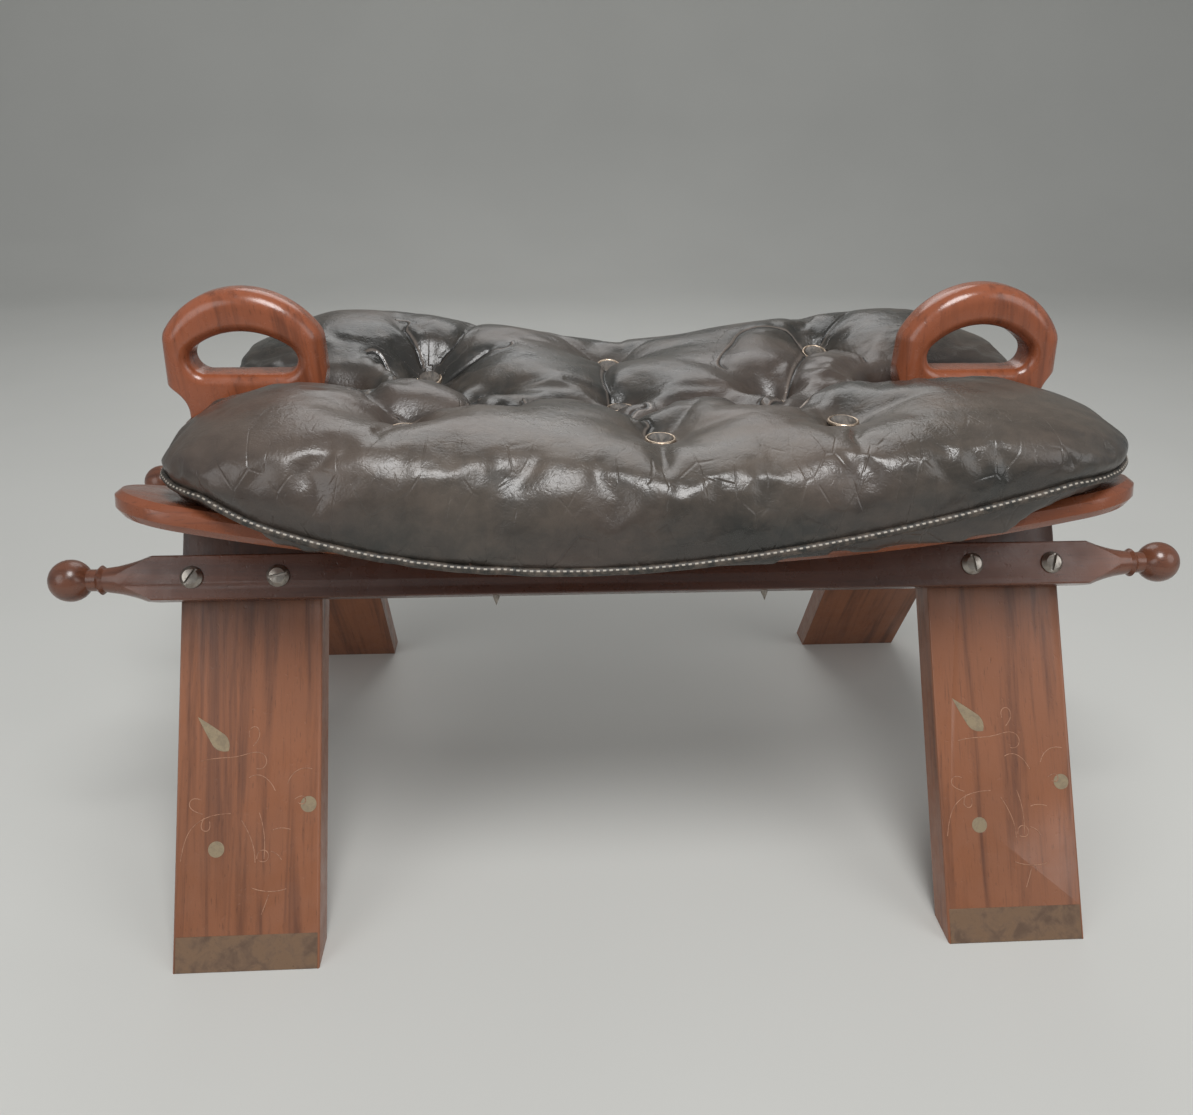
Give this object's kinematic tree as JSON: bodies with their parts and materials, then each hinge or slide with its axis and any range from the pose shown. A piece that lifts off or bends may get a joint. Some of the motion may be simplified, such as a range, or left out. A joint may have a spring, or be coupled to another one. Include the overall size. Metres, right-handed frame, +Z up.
{
  "type": "camel saddle stool",
  "caption": "Low wooden stool with two A-frame ends, carved loop handles, turned side rails and a loose, buttoned leather saddle cushion.",
  "frame": {"origin": "on the floor, under the middle of the stool", "axes": "+X along the stool towards the right handle, +Y towards the back, +Z up; the front with the lower slat faces -Y"},
  "size_m": [0.6746, 0.382, 0.35],
  "materials": {
    "leg_wood": "polished hardwood, brown with dark streaks along the plank",
    "handle_wood": "high polish, orange-brown",
    "rail_wood": "polished, dark brown",
    "dowel_wood": "bare, cut",
    "inlay_brass": "dull, aged",
    "aged_brass": "dark, worn",
    "steel": "worn",
    "cushion_leather": "aged, black-brown, semi-gloss",
    "stuffing": "packed fibre",
    "felt": "pressed felt",
    "twine": "twisted, waxed"
  },
  "bodies": {
    "frame": {"leg_front_left": "leg_wood", "leg_front_right": "leg_wood", "leg_rear_left": "leg_wood", "leg_rear_right": "leg_wood", "leg_inlay_front_left": "inlay_brass", "leg_inlay_front_right": "inlay_brass", "leg_inlay_rear_left": "inlay_brass", "leg_inlay_rear_right": "inlay_brass", "foot_band_front_left": "inlay_brass", "foot_band_front_right": "inlay_brass", "foot_band_rear_left": "inlay_brass", "foot_band_rear_right": "inlay_brass", "handle_left": "handle_wood", "handle_right": "handle_wood", "joint_dowels_left": "dowel_wood", "joint_dowels_right": "dowel_wood", "side_rail_front": "rail_wood", "side_rail_rear": "rail_wood", "seat_slat_front": "rail_wood", "seat_slat_rear": "rail_wood", "rail_screws_front": "steel", "rail_screws_rear": "steel", "slat_screws_front": "steel", "slat_screws_rear": "steel"},
    "cushion": {"cushion_top_cover": "cushion_leather", "cushion_under_panel": "cushion_leather", "cushion_welt": "cushion_leather", "cushion_stuffing": "stuffing", "tuft_twines": "twine", "tuft_patches": "felt", "buttons_rear_row": "cushion_leather", "buttons_centre_row": "cushion_leather", "buttons_front_row": "cushion_leather", "button_rims_rear_row": "aged_brass", "button_rims_centre_row": "aged_brass", "button_rims_front_row": "aged_brass"}
  },
  "joints": [
    {"name": "cushion_lift_off", "type": "slide", "parent": "frame", "child": "cushion", "axis": [0, 0, 1], "range_m": [0, 0.12]}
  ]
}
